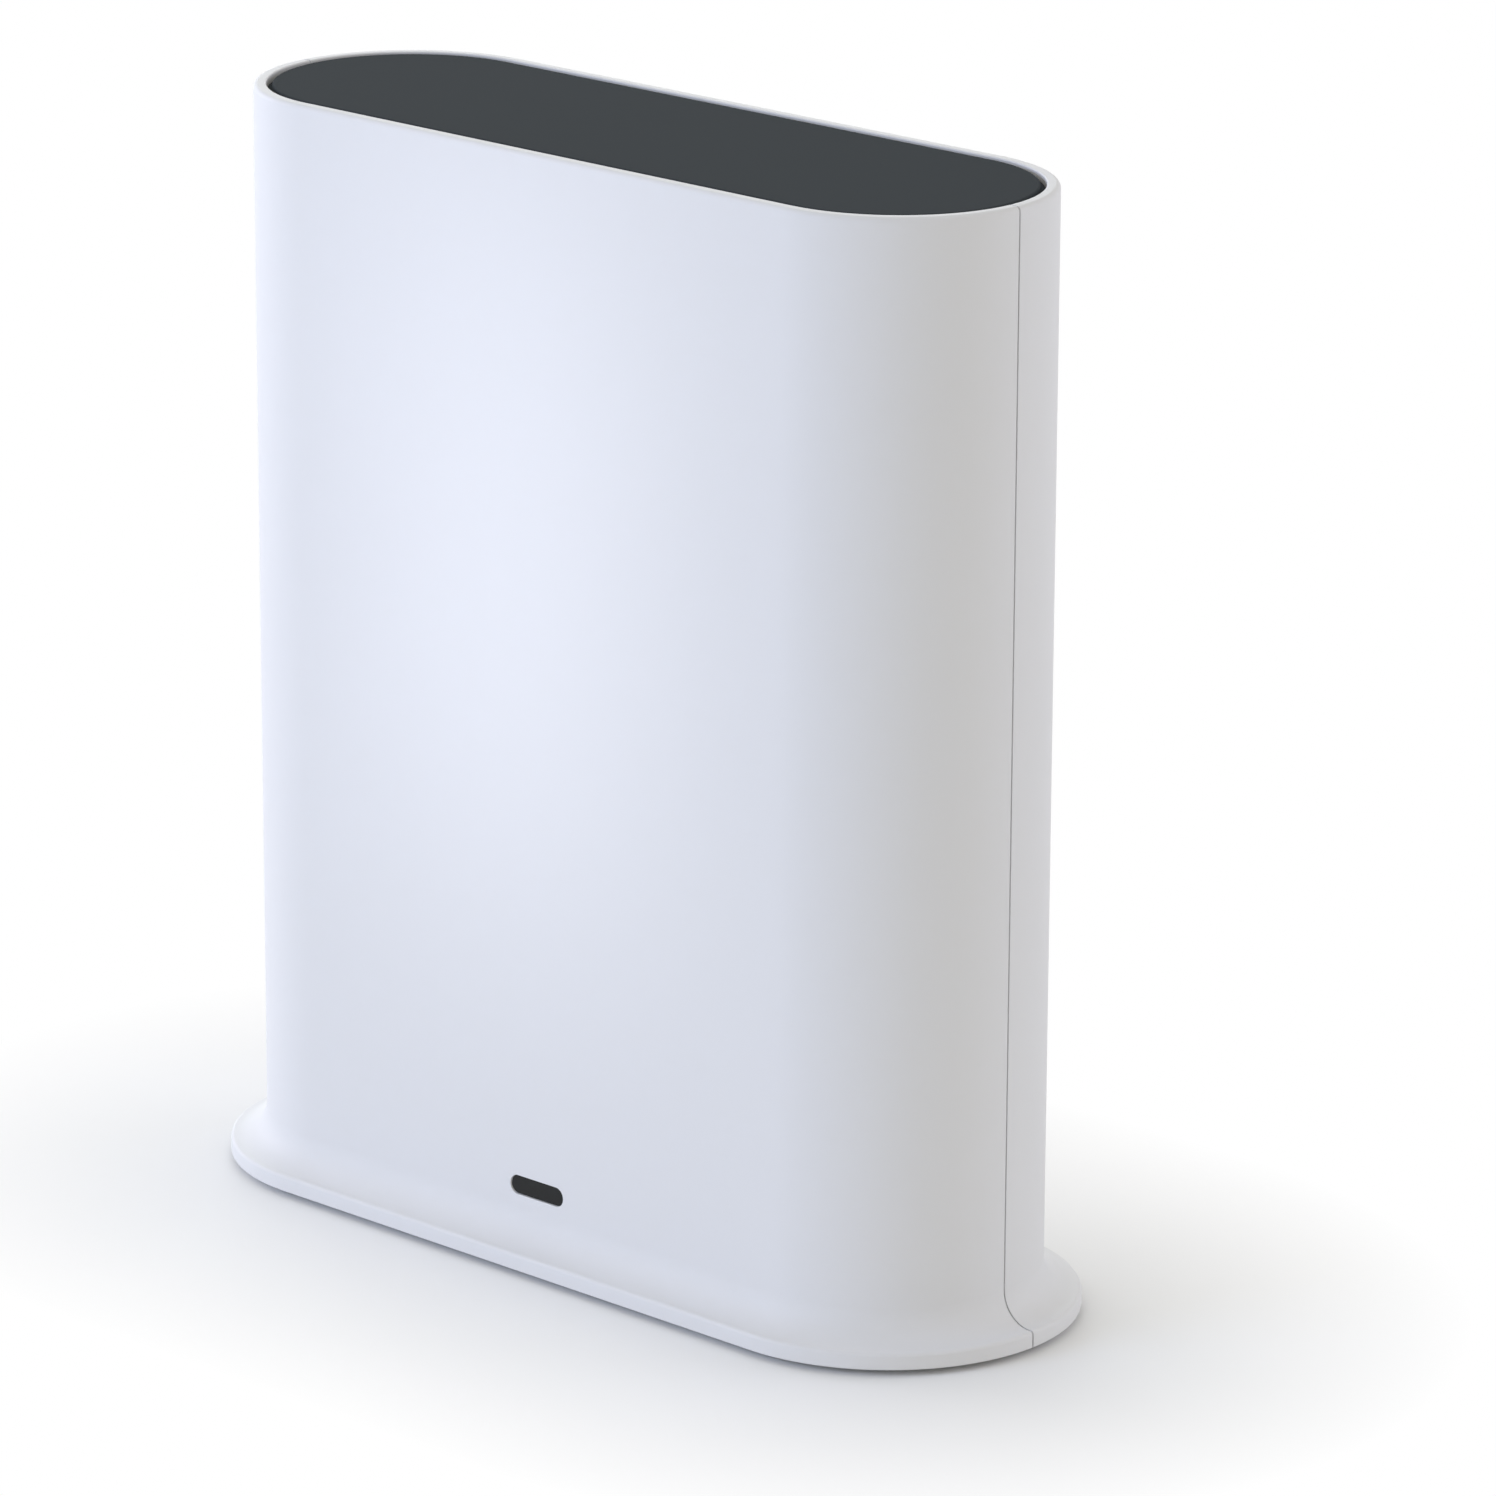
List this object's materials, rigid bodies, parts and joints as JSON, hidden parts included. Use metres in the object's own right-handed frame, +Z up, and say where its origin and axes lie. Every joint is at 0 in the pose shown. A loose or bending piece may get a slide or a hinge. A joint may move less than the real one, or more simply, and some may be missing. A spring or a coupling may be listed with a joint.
{
  "type": "security camera base station",
  "caption": "Upright hub for wireless security cameras: slim round-ended housing on a flared skirt, dark top panel, status window, rear sockets and sync button.",
  "frame": {"origin": "middle of the footprint, on the surface that the station stands on", "axes": "+X along the width, the front with its status window faces -Y, the sockets face +Y, +Z up"},
  "size_m": [0.157, 0.0586, 0.171],
  "materials": {
    "shell_white": "satin white moulded ABS with a very fine spark texture",
    "panel_grey": "matte blue-grey moulded plastic, finely textured",
    "window_smoke": "polished smoked lens, nearly black",
    "foot_rubber": "matte grey rubber",
    "screw_steel": "zinc-plated steel",
    "button_grey": "satin light grey moulded plastic",
    "lamp_white": "small lamp package, unlit",
    "moulded_black": "black moulded plastic",
    "pipe_clear": "clear moulded light pipe",
    "chip_black": "black moulded chip package",
    "thermal_grey": "soft thermal pad",
    "sink_aluminium": "extruded aluminium, plain",
    "plated_steel": "tin-plated folded steel",
    "contact_gold": "gold-plated contact",
    "board_green": "circuit board under green solder mask",
    "lead_grey": "thin coaxial lead with a grey jacket"
  },
  "bodies": {
    "housing": {"front_cover": "shell_white", "rear_cover": "shell_white", "base_plate": "shell_white", "top_panel": "panel_grey", "status_window": "window_smoke", "foot_pad": "foot_rubber", "base_screws": "screw_steel", "board_screws": "screw_steel", "carrier_screws": "screw_steel", "heat_sink_screws": "screw_steel", "status_lamp": "lamp_white", "light_shroud": "moulded_black", "light_pipe": "pipe_clear", "processor": "chip_black", "memory_chips": "chip_black", "radio_chips": "chip_black", "network_transformer": "chip_black", "thermal_pad": "thermal_grey", "heat_sink": "sink_aluminium", "radio_shield": "plated_steel", "capacitors": "sink_aluminium", "inductors": "chip_black", "main_board": "board_green", "ethernet_shield": "plated_steel", "ethernet_insert": "moulded_black", "ethernet_contacts": "contact_gold", "usb_shell": "plated_steel", "usb_insert": "moulded_black", "usb_contacts": "contact_gold", "power_jack": "moulded_black", "power_jack_pin": "plated_steel", "power_jack_contact": "contact_gold", "sync_switch": "plated_steel", "reset_switch": "plated_steel", "aerial_left": "board_green", "aerial_right": "board_green", "aerial_carrier": "moulded_black", "aerial_top": "contact_gold", "aerial_connectors": "contact_gold", "aerial_leads": "lead_grey"},
    "button": {"sync_button": "button_grey"},
    "sync_stem": {"sync_switch_stem": "moulded_black"},
    "reset_stem": {"reset_switch_stem": "moulded_black"}
  },
  "joints": [
    {"name": "sync_button_press", "type": "slide", "parent": "housing", "child": "button", "axis": [0, -1, 0], "range_m": [0, 0.0005], "stiffness_N_per_m": 3000, "springref_m": -0.0003},
    {"name": "sync_switch_press", "type": "slide", "parent": "housing", "child": "sync_stem", "axis": [0, -1, 0], "range_m": [0, 0.0005]},
    {"name": "reset_switch_press", "type": "slide", "parent": "housing", "child": "reset_stem", "axis": [0, -1, 0], "range_m": [0, 0.0003], "stiffness_N_per_m": 4000, "springref_m": -0.0002}
  ],
  "couplings": [
    {"joint": "sync_switch_press", "follows": "sync_button_press", "ratio": 1}
  ]
}
